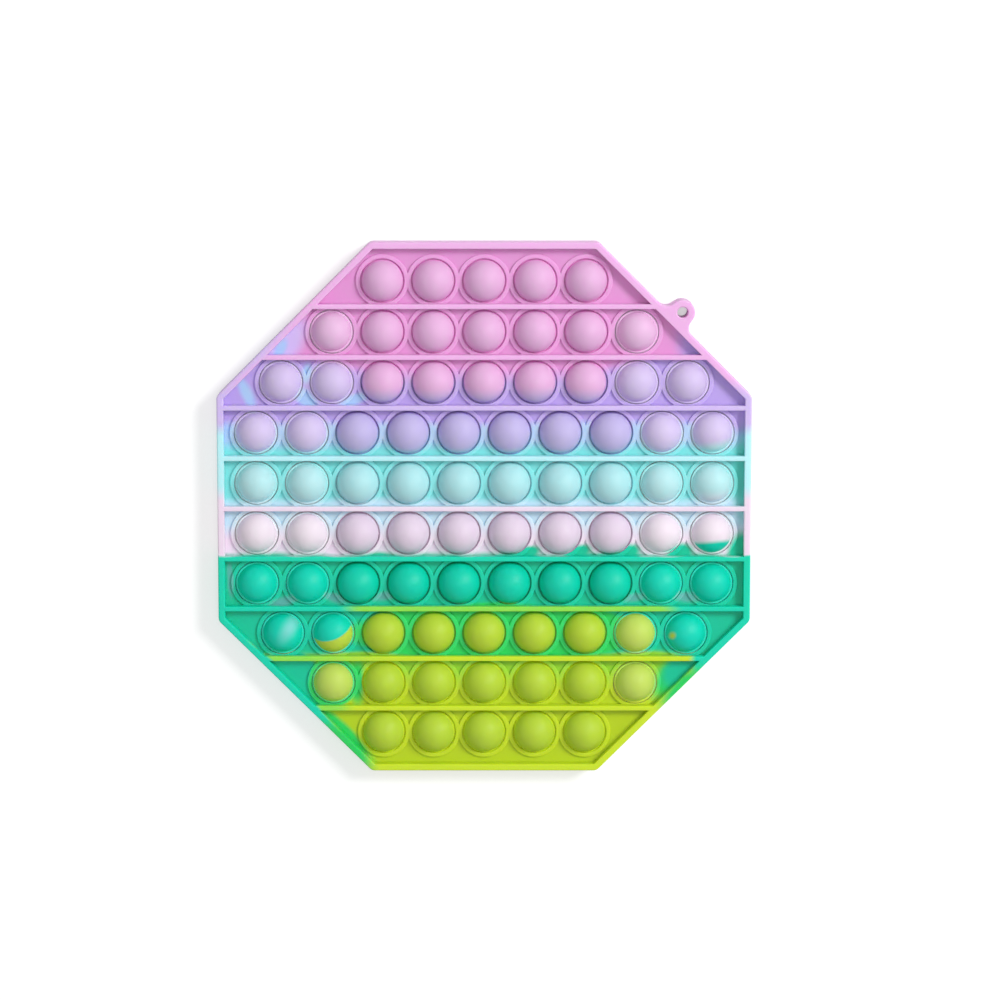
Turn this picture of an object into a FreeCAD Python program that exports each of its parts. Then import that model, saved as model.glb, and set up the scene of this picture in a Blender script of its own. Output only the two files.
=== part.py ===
"""Octagonal bubble popping board, moulded in one shot of soft silicone.

The board lies flat on its ribs and rim, domes up. +Z is up, +X runs along the rows and +Y across them.
The origin is on the surface that it rests on, under the middle of the board.
Inside the body, the XY plane is the mould's parting plane, half way up the rim.
"""
import FreeCAD, Part

import math
import os

import Sketcher

NODE = "bubble_board"

# Driving dimensions in millimetres and degrees, one row of the sheet each
DIMENSIONS = {
    "board_width": 200.0,
    "corner_cut": 57.5,
    "corner_round": 3.0,
    "rim_height": 10.5,
    "rim_width": 2.5,
    "outer_edge_round": 0.6,
    "sheet_thickness": 2.4,
    "draft_angle": 2.0,
    "row_pitch": 19.0,
    "bubble_pitch": 19.0,
    "rib_width": 1.8,
    "rib_edge_round": 0.35,
    "dome_radius": 7.9,
    "dome_wall": 0.9,
    "hinge_thickness": 0.8,
    "collar_inner_radius": 8.3,
    "collar_outer_radius": 9.9,
    "collar_rise": 0.9,
    "collar_edge_round": 0.25,
    "bore_radius": 8.45,
    "tab_radius": 4.7,
    "tab_reach": 3.7,
    "tab_blend_radius": 4.0,
    "tab_hole_radius": 2.0,
}

# Bubbles in each row, from the middle of the board to its edge. The other half mirrors it.
ROW_COUNTS = (10, 10, 9, 7, 5)

DIM = "dimensions."
HALF_WIDTH = DIM + "board_width / 2"
FLAT_END = f"({HALF_WIDTH} - {DIM}corner_cut)"
RIM_INNER = f"({HALF_WIDTH} - {DIM}rim_width)"
RIM_INNER_FLAT_END = f"({FLAT_END} - (sqrt(2) - 1) * {DIM}rim_width)"
RIB_ROOT = f"({DIM}rib_width / 2 + {DIM}rim_height / 2 * tan({DIM}draft_angle))"

ORIGIN_GEO = -1
X_AXIS_GEO = -1
Y_AXIS_GEO = -2
START, END, CENTRE = 1, 2, 3
SMALL = 1e-4


def make_sheet(doc):
    """Spreadsheet of the driving dimensions, each cell with its alias."""
    sheet = doc.addObject("Spreadsheet::Sheet", "dimensions")
    for row, (alias, value) in enumerate(DIMENSIONS.items(), start=1):
        sheet.set(f"A{row}", alias)
        sheet.set(f"B{row}", str(value))
        sheet.setAlias(f"B{row}", alias)
    doc.recompute()
    return sheet


def value_of(owner, expression):
    """Number that an expression of the sheet's cells gives."""
    return float(owner.evalExpression(expression))


def origin_feature(body, role):
    """Origin plane or axis of the body with this role."""
    return next(item for item in body.Origin.OriginFeatures if item.Role == role)


def new_sketch(body, name, plane="XY_Plane", offset=("0", "0", "0"), turn=None):
    """Sketch on an origin plane, moved by the offset's expressions and turned about its own normal."""
    sketch = body.newObject("Sketcher::SketchObject", name)
    sketch.AttachmentSupport = [(origin_feature(body, plane), "")]
    sketch.MapMode = "FlatFace"
    if turn is not None:
        rotation = FreeCAD.Rotation(FreeCAD.Vector(0, 0, 1), turn)
        sketch.AttachmentOffset = FreeCAD.Placement(FreeCAD.Vector(), rotation)
    for axis, expression in zip("xyz", offset):
        if expression != "0":
            sketch.setExpression(f"AttachmentOffset.Base.{axis}", expression)
    sketch.recompute()
    return sketch


def pin_point(sketch, geo, end, place):
    """Fix one point of a sketch by its distances from the sketch's origin."""
    spots = (("DistanceX", Y_AXIS_GEO, place[0]), ("DistanceY", X_AXIS_GEO, place[1]))
    for kind, axis_geo, expression in spots:
        distance = value_of(sketch, expression)
        if abs(distance) < SMALL:
            sketch.addConstraint(Sketcher.Constraint("PointOnObject", geo, end, axis_geo))
            continue
        index = sketch.addConstraint(Sketcher.Constraint(kind, ORIGIN_GEO, START, geo, end, distance))
        sketch.setExpression(f"Constraints[{index}]", expression)


def sketch_vector(sketch, place):
    """Point of the sketch's plane from a pair of expressions."""
    return FreeCAD.Vector(value_of(sketch, place[0]), value_of(sketch, place[1]), 0)


def add_outline(sketch, corners, arc_centres=None):
    """Closed outline through the corners, each pinned. A run with a centre in arc_centres is an arc.

    An arc is the shorter way round its centre from its run's first corner to the next.
    """
    arc_centres = arc_centres or {}
    points = [sketch_vector(sketch, corner) for corner in corners]
    runs = []
    for index, start in enumerate(points):
        finish = points[(index + 1) % len(points)]
        if index not in arc_centres:
            runs.append((sketch.addGeometry(Part.LineSegment(start, finish), False), START, END))
            continue
        centre = sketch_vector(sketch, arc_centres[index])
        turn = (start - centre).cross(finish - centre).z
        first, last = (start, finish) if turn > 0 else (finish, start)
        circle = Part.Circle(centre, FreeCAD.Vector(0, 0, 1), (start - centre).Length)
        arc = Part.ArcOfCircle(circle, circle.parameter(first), circle.parameter(last))
        ends = (START, END) if turn > 0 else (END, START)
        runs.append((sketch.addGeometry(arc, False), *ends))
    for index, (geo, start, _) in enumerate(runs):
        last_geo, _, last_end = runs[index - 1]
        sketch.addConstraint(Sketcher.Constraint("Coincident", last_geo, last_end, geo, start))
        pin_point(sketch, geo, start, corners[index])
    for index, centre in arc_centres.items():
        pin_arc_centre(sketch, runs[index][0], centre)


def pin_arc_centre(sketch, geo, centre):
    """Fix an arc between two pinned ends: its centre's place along the axis where it moves most."""
    ends = [sketch.getPoint(geo, START), sketch.getPoint(geo, END)]
    chord = ends[1] - ends[0]
    across = abs(chord.y) >= abs(chord.x)
    kind, axis_geo, expression = (
        ("DistanceX", Y_AXIS_GEO, centre[0]) if across else ("DistanceY", X_AXIS_GEO, centre[1]))
    distance = value_of(sketch, expression)
    if abs(distance) < SMALL:
        sketch.addConstraint(Sketcher.Constraint("PointOnObject", geo, CENTRE, axis_geo))
        return
    index = sketch.addConstraint(Sketcher.Constraint(kind, ORIGIN_GEO, START, geo, CENTRE, distance))
    sketch.setExpression(f"Constraints[{index}]", expression)


def octagon_corners(half, flat_end):
    """Eight corners, anticlockwise, of an octagon this far from its middle to its flats."""
    quarter = [(half, flat_end), (flat_end, half)]
    corners = list(quarter)
    corners += [(f"-{x}", y) for x, y in reversed(quarter)]
    corners += [(f"-{x}", f"-{y}") for x, y in quarter]
    corners += [(x, f"-{y}") for x, y in reversed(quarter)]
    return corners


def pad_both_ways(body, name, sketch, length):
    """Pad equally to both sides of the sketch's plane."""
    pad = body.newObject("PartDesign::Pad", name)
    pad.Profile = sketch
    pad.SideType = "Symmetric"
    pad.setExpression("Length", length)
    finish_feature(body, pad)
    return pad


def finish_feature(body, feature):
    """Recompute a feature and stop if it failed, because a failed one is silent."""
    body.Document.recompute()
    failed = {"Invalid", "Error"} & set(feature.State)
    if failed or feature.Shape.isNull() or not feature.Shape.isValid():
        raise RuntimeError(f"{feature.Name} failed: {feature.State}")


def expect_less(feature, volume_before):
    """Stop if a cut removed nothing, which happens when it points away from the solid."""
    if feature.Shape.Volume >= volume_before - SMALL:
        raise RuntimeError(f"{feature.Name} removed nothing")


def make_slab(body):
    """Full-height octagon with rounded corners, and the hanging tab on its upper right side."""
    outline = new_sketch(body, "board_outline")
    add_outline(outline, octagon_corners(HALF_WIDTH, FLAT_END))
    slab = pad_both_ways(body, "slab", outline, DIM + "rim_height")
    upright = find_edges(slab, lambda edge: edge.BoundBox.ZLength > 1)
    add_fillet(body, "rounded_corners", slab, upright, DIM + "corner_round")

    middle = f"({HALF_WIDTH} + {FLAT_END}) / 2"
    tab_outline = new_sketch(body, "tab_outline", offset=(middle, middle, "0"), turn=45)
    draw_tab(tab_outline)
    pad_both_ways(body, "tab", tab_outline, DIM + "rim_height")

    hole_outline = new_sketch(body, "tab_hole_outline", offset=(middle, middle, "0"), turn=45)
    add_circle(hole_outline, (DIM + "tab_reach", "0"), DIM + "tab_hole_radius")
    tab_hole = cut_through(body, "tab_hole", hole_outline)
    add_fillet(body, "rounded_outline", tab_hole, find_edges(tab_hole, lies_level),
               DIM + "outer_edge_round")


def draw_tab(sketch):
    """Round lobe that flows into the side through a hollow curve on each flank.

    The sketch's X axis points out of the board, and its Y axis lies along the side.
    """
    reach, lobe, blend = DIM + "tab_reach", DIM + "tab_radius", DIM + "tab_blend_radius"
    foot = f"sqrt(({lobe} + {blend}) ^ 2 - ({reach} - {blend}) ^ 2)"
    meet_x = f"({reach} + ({blend} - {reach}) * {lobe} / ({lobe} + {blend}))"
    meet_y = f"({foot} * {lobe} / ({lobe} + {blend}))"
    root = f"-{DIM}rim_width / 2"
    tip = f"({reach} + {lobe})"
    corners = [(root, f"-{foot}"), ("0", f"-{foot}"), (meet_x, f"-{meet_y}"), (tip, "0"),
               (meet_x, meet_y), ("0", foot), (root, foot)]
    centres = {1: (blend, f"-{foot}"), 2: (reach, "0"), 3: (reach, "0"), 4: (blend, foot)}
    add_outline(sketch, corners, centres)


def add_circle(sketch, centre, radius):
    """Full circle with its centre and radius bound to the sheet."""
    at = sketch_vector(sketch, centre)
    circle = Part.Circle(at, FreeCAD.Vector(0, 0, 1), value_of(sketch, radius))
    geo = sketch.addGeometry(circle, False)
    pin_point(sketch, geo, CENTRE, centre)
    index = sketch.addConstraint(Sketcher.Constraint("Radius", geo, circle.Radius))
    sketch.setExpression(f"Constraints[{index}]", radius)


def cut_through(body, name, sketch):
    """Pocket through everything above and below the parting plane."""
    before = body.Shape.Volume
    pocket = body.newObject("PartDesign::Pocket", name)
    pocket.Profile = sketch
    pocket.SideType = "Symmetric"
    pocket.Type = "ThroughAll"
    finish_feature(body, pocket)
    expect_less(pocket, before)
    return pocket


def find_edges(feature, test):
    """Names of the feature's edges that pass the test."""
    return [f"Edge{index}" for index, edge in enumerate(feature.Shape.Edges, start=1) if test(edge)]


def add_fillet(body, name, base, edges, radius):
    """Round these edges of the base with a radius from the sheet."""
    fillet = body.newObject("PartDesign::Fillet", name)
    fillet.Base = (base, edges)
    fillet.setExpression("Radius", radius)
    finish_feature(body, fillet)
    return fillet


def lies_level(edge):
    """True for an edge in the top or bottom face of the rim."""
    box = edge.BoundBox
    half_height = DIMENSIONS["rim_height"] / 2
    return box.ZLength < SMALL and abs(abs(box.ZMin) - half_height) < SMALL


def hollow_out(body, side):
    """Sink the sheet below the rim's edge on the top face, side 1, or the underside, side -1.

    The wall inside the rim has the mould's draft, rounded corners and a softened edge.
    """
    def on_side(edge):
        """True for an edge of this side's wall."""
        return is_inside_rim(edge) and edge.BoundBox.Center.z * side > 0

    before = body.Shape.Volume
    face = "top" if side > 0 else "underside"
    outline = new_sketch(body, f"{face}_tray_outline", offset=("0", "0", f"{DIM}rim_height / 2 * {side}"))
    add_outline(outline, octagon_corners(RIM_INNER, RIM_INNER_FLAT_END))
    tray = body.newObject("PartDesign::Pocket", f"{face}_tray")
    tray.Profile = outline
    tray.Reversed = side < 0
    tray.setExpression("Length", f"({DIM}rim_height - {DIM}sheet_thickness) / 2")
    tray.setExpression("TaperAngle", f"-{DIM}draft_angle")
    finish_feature(body, tray)
    expect_less(tray, before)

    steep = find_edges(tray, lambda edge: on_side(edge) and edge.BoundBox.ZLength > 1)
    corners = add_fillet(body, f"{face}_tray_corners", tray, steep, f"{DIM}corner_round - {DIM}rim_width")
    rim_edge = find_edges(corners, lambda edge: on_side(edge) and lies_level(edge))
    add_fillet(body, f"{face}_tray_edge", corners, rim_edge, DIM + "rib_edge_round")


def is_inside_rim(edge):
    """True for an edge of the wall inside the rim, which leaves out the outline and the tab."""
    middle = edge.valueAt((edge.FirstParameter + edge.LastParameter) / 2)
    half = DIMENSIONS["board_width"] / 2
    inner = half - DIMENSIONS["rim_width"] + SMALL
    inner_sum = 2 * half - DIMENSIONS["corner_cut"] - math.sqrt(2) * DIMENSIONS["rim_width"] + SMALL
    straight = max(abs(middle.x), abs(middle.y)) < inner
    return straight and abs(middle.x) + abs(middle.y) < inner_sum


def rib_section(step):
    """Section of the rib this many rows from the middle, as corners and arc centres of expressions.

    The rib is widest at the parting plane, tapers to both faces, and its four edges are rounded.
    """
    across = f"{DIM}row_pitch * {step}"
    soft = DIM + "rib_edge_round"
    tangent = f"({soft} / tan(45 + {DIM}draft_angle / 2))"
    flat = f"({DIM}rib_width / 2 - {tangent})"
    side = f"({DIM}rib_width / 2 + {tangent} * sin({DIM}draft_angle))"
    top = f"({DIM}rim_height / 2)"
    low = f"({top} - {tangent} * cos({DIM}draft_angle))"
    middle = f"({top} - {soft})"
    left, right = f"{across} - ", f"{across} + "
    corners = [
        (right + RIB_ROOT, "0"), (right + side, low), (right + flat, top), (left + flat, top),
        (left + side, low), (left + RIB_ROOT, "0"), (left + side, f"-{low}"),
        (left + flat, f"-{top}"), (right + flat, f"-{top}"), (right + side, f"-{low}"),
    ]
    centres = {1: (right + flat, middle), 3: (left + flat, middle),
               6: (left + flat, f"-{middle}"), 8: (right + flat, f"-{middle}")}
    return corners, centres


def add_ribs(body):
    """Straight ribs between the rows, from rim to rim, as tall as the rim on both faces."""
    last = len(ROW_COUNTS) - 1
    groups = {}
    for step in range(last + 1):
        reach = f"min({RIM_INNER}; {RIM_INNER} + {RIM_INNER_FLAT_END} - {DIM}row_pitch * {step})"
        groups.setdefault(round(value_of(body, reach), 3), (reach, []))[1].append(step)
    for reach, steps in groups.values():
        outline = new_sketch(body, f"rib_sections_{steps[-1]}", "YZ_Plane")
        for step in sorted({sign * step for step in steps for sign in (-1, 1)}):
            add_outline(outline, *rib_section(step))
        pad_both_ways(body, f"ribs_{steps[-1]}", outline, f"2 * ({reach} + {RIB_ROOT})")


def bubble_section():
    """Section of one bubble from its axis outwards, as corners and arc centres of expressions.

    A dome of even wall stands on a thin flat hinge web. The web meets a collar, which stands above
    and below the sheet, and whose edges are rounded.
    """
    dome, wall = DIM + "dome_radius", DIM + "dome_wall"
    hinge = f"({DIM}hinge_thickness / 2)"
    inner, outer = DIM + "collar_inner_radius", DIM + "collar_outer_radius"
    height = f"({DIM}sheet_thickness / 2 + {DIM}collar_rise)"
    soft = DIM + "collar_edge_round"
    near, far = f"({inner} + {soft})", f"({outer} - {soft})"
    below = f"({height} - {soft})"
    cup = f"({dome} - {wall})"
    corners = [
        ("0", f"{hinge} + {dome}"), (dome, hinge), (inner, hinge),
        (inner, below), (near, height), (far, height), (outer, below),
        (outer, f"-{below}"), (far, f"-{height}"), (near, f"-{height}"), (inner, f"-{below}"),
        (inner, f"-{hinge}"), (cup, f"-{hinge}"), (cup, hinge), ("0", f"{hinge} + {cup}"),
    ]
    centres = {0: ("0", hinge), 3: (near, below), 5: (far, below), 7: (far, f"-{below}"),
               9: (near, f"-{below}"), 13: ("0", hinge)}
    return corners, centres


def bubble_places():
    """Name and place, as expressions, of each bubble's middle, row by row from the middle outwards."""
    for step, count in enumerate(ROW_COUNTS, start=1):
        for half, sign in (("upper", ""), ("lower", "-")):
            for column in range(count):
                across = f"{sign}{DIM}row_pitch * {step - 0.5}"
                along = f"{DIM}bubble_pitch * {column - (count - 1) / 2}"
                yield f"{half}_{step}_{column + 1}", (along, across)


def cut_bores(body):
    """Round opening in the sheet for each bubble, a little wider than its collar's inner wall."""
    outline = new_sketch(body, "bore_outlines")
    for _, place in bubble_places():
        add_circle(outline, place, DIM + "bore_radius")
    cut_through(body, "bores", outline)


def make_bubble(doc):
    """One bubble about the vertical axis, with its hinge web and collar."""
    body = doc.addObject("PartDesign::Body", "bubble")
    section = new_sketch(body, "bubble_section", "XZ_Plane")
    add_outline(section, *bubble_section())
    turned = body.newObject("PartDesign::Revolution", "turned_bubble")
    turned.Profile = section
    turned.ReferenceAxis = (section, ["V_Axis"])
    turned.Angle = 360
    finish_feature(body, turned)
    return body


def place_bubbles(doc, bubble):
    """One link to the bubble at each place on the board."""
    links = []
    for name, (along, across) in bubble_places():
        link = doc.addObject("App::Link", f"bubble_{name}")
        link.LinkedObject = bubble
        link.setExpression("Placement.Base.x", along)
        link.setExpression("Placement.Base.y", across)
        links.append(link)
    return links


def build():
    """Make the document and return the finished board."""
    doc = FreeCAD.newDocument("bubble_board")
    make_sheet(doc)
    frame = doc.addObject("PartDesign::Body", "rim_sheet_and_ribs")
    make_slab(frame)
    for side in (1, -1):
        hollow_out(frame, side)
    add_ribs(frame)
    cut_bores(frame)
    board = doc.addObject("Part::MultiFuse", NODE)
    board.Label = NODE
    board.Refine = True
    board.Shapes = [frame, *place_bubbles(doc, make_bubble(doc))]
    board.setExpression("Placement.Base.z", DIM + "rim_height / 2")
    doc.recompute()
    return doc, board


def check(doc, board):
    """Stop unless every object is sound and the board is one solid."""
    for item in doc.Objects:
        if {"Invalid", "Error"} & set(item.State):
            raise RuntimeError(f"{item.Name} is {item.State}")
    shape = board.Shape
    if shape.isNull() or not shape.isValid() or len(shape.Solids) != 1:
        raise RuntimeError(f"{board.Label} is not one valid solid")
    domes = 2 * sum(ROW_COUNTS)
    top = max(vertex.Z for vertex in shape.Vertexes)
    print(f"{board.Label}: {domes} domes, {shape.Volume / 1000:.1f} cubic centimetres, top at {top:.2f}")


def main():
    """Build, check and write the board."""
    doc, board = build()
    check(doc, board)
    os.makedirs("parts", exist_ok=True)
    board.Shape.exportStep(os.path.join("parts", board.Label + ".step"))


main()
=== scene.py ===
"""Octagonal bubble popping board of soft silicone, lying domes up on a pale floor.

The moulding is one closed skin: a slab with a rounded outline and a hanging tab, sunk trays on both faces,
ribs between the rows, and a turned dome with its hinge groove and collar in each place of the rows.
"""

import logging
import math
from dataclasses import dataclass
from enum import Enum

import bpy
import numpy as np
from mathutils import Matrix, Vector


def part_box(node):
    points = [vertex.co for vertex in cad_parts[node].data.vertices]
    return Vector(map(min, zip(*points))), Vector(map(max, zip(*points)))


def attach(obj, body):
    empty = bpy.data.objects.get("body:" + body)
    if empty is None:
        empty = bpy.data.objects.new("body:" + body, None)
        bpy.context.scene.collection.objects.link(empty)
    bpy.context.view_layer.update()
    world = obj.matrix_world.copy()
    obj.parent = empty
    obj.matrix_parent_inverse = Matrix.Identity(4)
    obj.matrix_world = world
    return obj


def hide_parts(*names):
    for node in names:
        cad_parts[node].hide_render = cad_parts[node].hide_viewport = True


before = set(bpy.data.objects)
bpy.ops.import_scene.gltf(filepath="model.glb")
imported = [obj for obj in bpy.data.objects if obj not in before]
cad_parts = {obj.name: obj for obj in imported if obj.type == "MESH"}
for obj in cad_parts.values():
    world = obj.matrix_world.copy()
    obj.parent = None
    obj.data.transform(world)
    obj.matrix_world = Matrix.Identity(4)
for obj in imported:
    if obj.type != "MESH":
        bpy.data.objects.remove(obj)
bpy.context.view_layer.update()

MM = 0.001
NODE = "bubble_board"
IMAGE_SIDE = 1000

# Millimetres from one row or bubble to the next
PITCH = 19.0
# Millimetres from the board's middle to either end of a colour ramp
RAMP_REACH = 110.0
# Millimetres by which a cutting tool stands over the face that it cuts
OVERSHOOT = 1.0
# Half length of a patch through the board in millimetres, so great that a patch has no end there
PATCH_DEPTH = 1e6
# Numbers of the Mix node's factor and colour inputs, and of its colour output
MIX_FACTOR, MIX_FIRST, MIX_SECOND, MIX_RESULT = 0, 6, 7, 2

# Centre, radius, first and last angle in degrees
Arc = tuple[tuple[float, float], float, float, float]
# Scene-linear red, green and blue, and full cover
Colour = tuple[float, float, float, float]

log = logging.getLogger("bubble_board")


class Cut(Enum):
    """How a second skin changes the first."""

    JOIN = "UNION"
    REMOVE = "DIFFERENCE"


class Zone(Enum):
    """Point attributes of the skin that say which level of the moulding a point belongs to."""

    RAISED = "rim_and_ribs"
    DOME = "domes"
    OUTER_DOME = "outer_domes"
    COLLAR = "collars"
    LIP = "lips"
    # Grooves round the domes, where the colour is brightened as painted light
    GROOVE = "grooves"
    OUTER_GROOVE = "outer_grooves"


class Tint(Enum):
    """Colours of the silicone dough and of painted shadow and light, in display values of red, green and
    blue.
    """

    PINK = (229, 180, 220)
    PINK_DEEP = (224, 157, 212)
    PINK_RIM = (236, 184, 230)
    # Painted light: brighter pink laid into the grooves to lift their shade
    PINK_GROOVE_PAINTED_LIGHT = (254, 180, 236)
    LAVENDER = (190, 168, 228)
    LAVENDER_PALE = (211, 192, 238)
    LAVENDER_DOME = (205, 187, 233)
    ORCHID = (207, 191, 235)
    VIOLET = (194, 184, 229)
    ICE_BLUE = (176, 206, 239)
    AQUA = (132, 222, 221)
    # Painted shadow: deeper teal where the right rim's wall shades the sheet
    RIM_SHADOW_PAINTED_TEAL = (92, 208, 196)
    AQUA_PALE = (190, 240, 247)
    AQUA_DOME = (177, 228, 233)
    MIST = (198, 224, 238)
    BLUSH = (238, 219, 236)
    BLUSH_DOME = (226, 208, 227)
    PALE_ROSE = (243, 222, 238)
    GREEN = (4, 198, 160)
    GREEN_DOME = (0, 206, 175)
    GREEN_RIM = (12, 213, 179)
    SILVER_GREEN = (108, 206, 197)
    GREY_TEAL = (100, 182, 176)
    LEAF = (44, 208, 100)
    LEAF_LIME = (150, 224, 84)
    LIME_GREEN = (156, 210, 48)
    LIME = (188, 210, 26)
    LIME_DOME = (183, 210, 60)
    LIME_PALE = (188, 213, 86)
    LIME_RIM = (204, 226, 46)
    # Painted light: brighter lime laid into the grooves to lift their shade
    LIME_GROOVE_PAINTED_LIGHT = (234, 252, 56)

    def linear(self) -> Colour:
        """Scene-linear colour: each display value v of 0 to 1 becomes ((v + 0.055) / 1.055) ^ 2.4.

        Returns:
            The colour, with full cover.
        """
        display = np.array(self.value) / 255
        red, green, blue = (((display + 0.055) / 1.055) ** 2.4).tolist()
        return red, green, blue, 1.0


@dataclass(frozen=True)
class Band:
    """Stretch of one tint across the board, down to its lower edge in millimetres."""

    tint: Tint
    lower: float
    soft: float = 2.0


@dataclass(frozen=True)
class Patch:
    """Local oval of one tint: its middle, half lengths, turn in degrees and softness of its edge."""

    tint: Tint
    x: float
    y: float
    long: float
    short: float
    turn: float = 0.0
    soft: float = 0.25


@dataclass(frozen=True)
class ColourField:
    """Colour layout of one level of the board, with how far its borders stray in millimetres."""

    bands: tuple[Band, ...]
    patches: tuple[Patch, ...]
    stray: float


RIM_AND_RIBS = ColourField(
    bands=(
        Band(Tint.PINK_RIM, 46.0, 6.0), Band(Tint.LAVENDER_PALE, 30.0, 5.0), Band(Tint.AQUA_PALE, 6.0, 5.0),
        Band(Tint.BLUSH, -17.6, 0.8), Band(Tint.GREEN_RIM, -51.0, 3.0), Band(Tint.LIME_RIM, -RAMP_REACH),
    ),
    patches=(
        Patch(Tint.LAVENDER_PALE, -92.0, 60.0, 30.0, 9.0, 45.0, 0.3),
        Patch(Tint.LEAF_LIME, 10.0, -38.0, 61.0, 5.0, 0.0, 0.08),
        Patch(Tint.LEAF_LIME, -74.0, -57.0, 24.0, 5.0, 0.0, 0.9),
        Patch(Tint.LEAF_LIME, -61.0, -76.0, 9.0, 3.0, 0.0, 0.5),
        Patch(Tint.GREEN_RIM, -79.0, -67.0, 46.0, 6.0, -45.0, 0.12),
        Patch(Tint.LEAF, -52.0, -90.5, 12.0, 5.0, -45.0, 0.4),
        Patch(Tint.GREEN_RIM, 90.0, -53.0, 14.0, 9.0, 45.0, 0.15),
        Patch(Tint.LEAF, 75.0, -68.0, 10.0, 4.0, 45.0, 0.5),
    ),
    stray=1.6,
)

SHEET = ColourField(
    bands=(
        Band(Tint.PINK_DEEP, 50.0, 6.0), Band(Tint.LAVENDER, 32.0, 3.0), Band(Tint.ICE_BLUE, 23.5, 4.0),
        Band(Tint.AQUA, 3.0, 3.0), Band(Tint.MIST, -9.0, 6.0), Band(Tint.BLUSH, -17.4, 1.5),
        Band(Tint.GREEN, -55.4, 1.2), Band(Tint.LIME_GREEN, -66.0, 8.0), Band(Tint.LIME, -RAMP_REACH),
    ),
    patches=(
        Patch(Tint.LAVENDER_PALE, -76.0, 61.0, 12.0, 6.0, 45.0, 0.4),
        Patch(Tint.ICE_BLUE, -76.0, 59.8, 3.6, 1.9, 60.0, 0.5),
        Patch(Tint.LAVENDER, -76.0, 47.5, 34.0, 9.0, 0.0, 0.2),
        Patch(Tint.ICE_BLUE, -88.5, 43.0, 7.0, 2.0, 110.0, 0.6),
        Patch(Tint.ICE_BLUE, -66.5, 51.0, 3.6, 1.8, 80.0, 0.6),
        Patch(Tint.ICE_BLUE, -67.0, 41.5, 6.0, 2.8, 140.0, 0.5),
        Patch(Tint.ICE_BLUE, -48.5, 41.0, 5.0, 2.2, 20.0, 0.5),
        Patch(Tint.LAVENDER, 82.0, 58.0, 12.0, 7.0, -45.0, 0.4),
        Patch(Tint.LAVENDER, 70.0, 47.5, 30.0, 9.0, 0.0, 0.2),
        Patch(Tint.LAVENDER, 96.0, 36.0, 5.0, 7.0, 0.0, 0.4),
        # Painted shadow of the right rim's wall on the sheet
        Patch(Tint.RIM_SHADOW_PAINTED_TEAL, 97.0, 12.0, 15.0, 3.4, 90.0, 0.6),
        *(Patch(Tint.GREEN, step * PITCH - 2.5, -17.0, 5.0, 2.0 + 0.3 * step, 15.0, 0.35)
          for step in range(1, 5)),
        Patch(Tint.GREEN, 96.0, -15.0, 6.0, 4.0, 70.0, 0.4),
        Patch(Tint.GREY_TEAL, -95.2, -27.0, 6.0, 1.2, 90.0, 0.5),
        Patch(Tint.GREY_TEAL, -76.0, -35.0, 4.5, 1.6, 20.0, 0.6),
        Patch(Tint.GREY_TEAL, -57.0, -34.8, 4.0, 1.6, 160.0, 0.6),
        Patch(Tint.GREY_TEAL, -38.0, -34.6, 3.6, 1.5, 10.0, 0.6),
        Patch(Tint.GREY_TEAL, 57.0, -33.6, 3.8, 1.5, 10.0, 0.6),
        Patch(Tint.GREY_TEAL, 76.0, -33.8, 4.2, 1.6, 170.0, 0.6),
        Patch(Tint.LEAF, 6.0, -47.5, 58.0, 11.0, 0.0, 0.08),
        Patch(Tint.GREEN, -70.0, -65.0, 15.0, 9.0, -45.0, 0.15),
        Patch(Tint.LEAF, -57.0, -66.5, 9.8, 9.8, 0.0, 0.06),
        Patch(Tint.LEAF, -47.8, -67.0, 8.0, 2.6, 90.0, 0.45),
        Patch(Tint.LEAF, 73.0, -63.0, 12.0, 5.5, 45.0, 0.4),
        Patch(Tint.GREEN, 76.0, -60.0, 10.0, 5.0, 42.0, 0.3),
        Patch(Tint.LEAF, -53.0, -86.0, 14.0, 2.6, -45.0, 0.4),
    ),
    stray=2.2,
)

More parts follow.
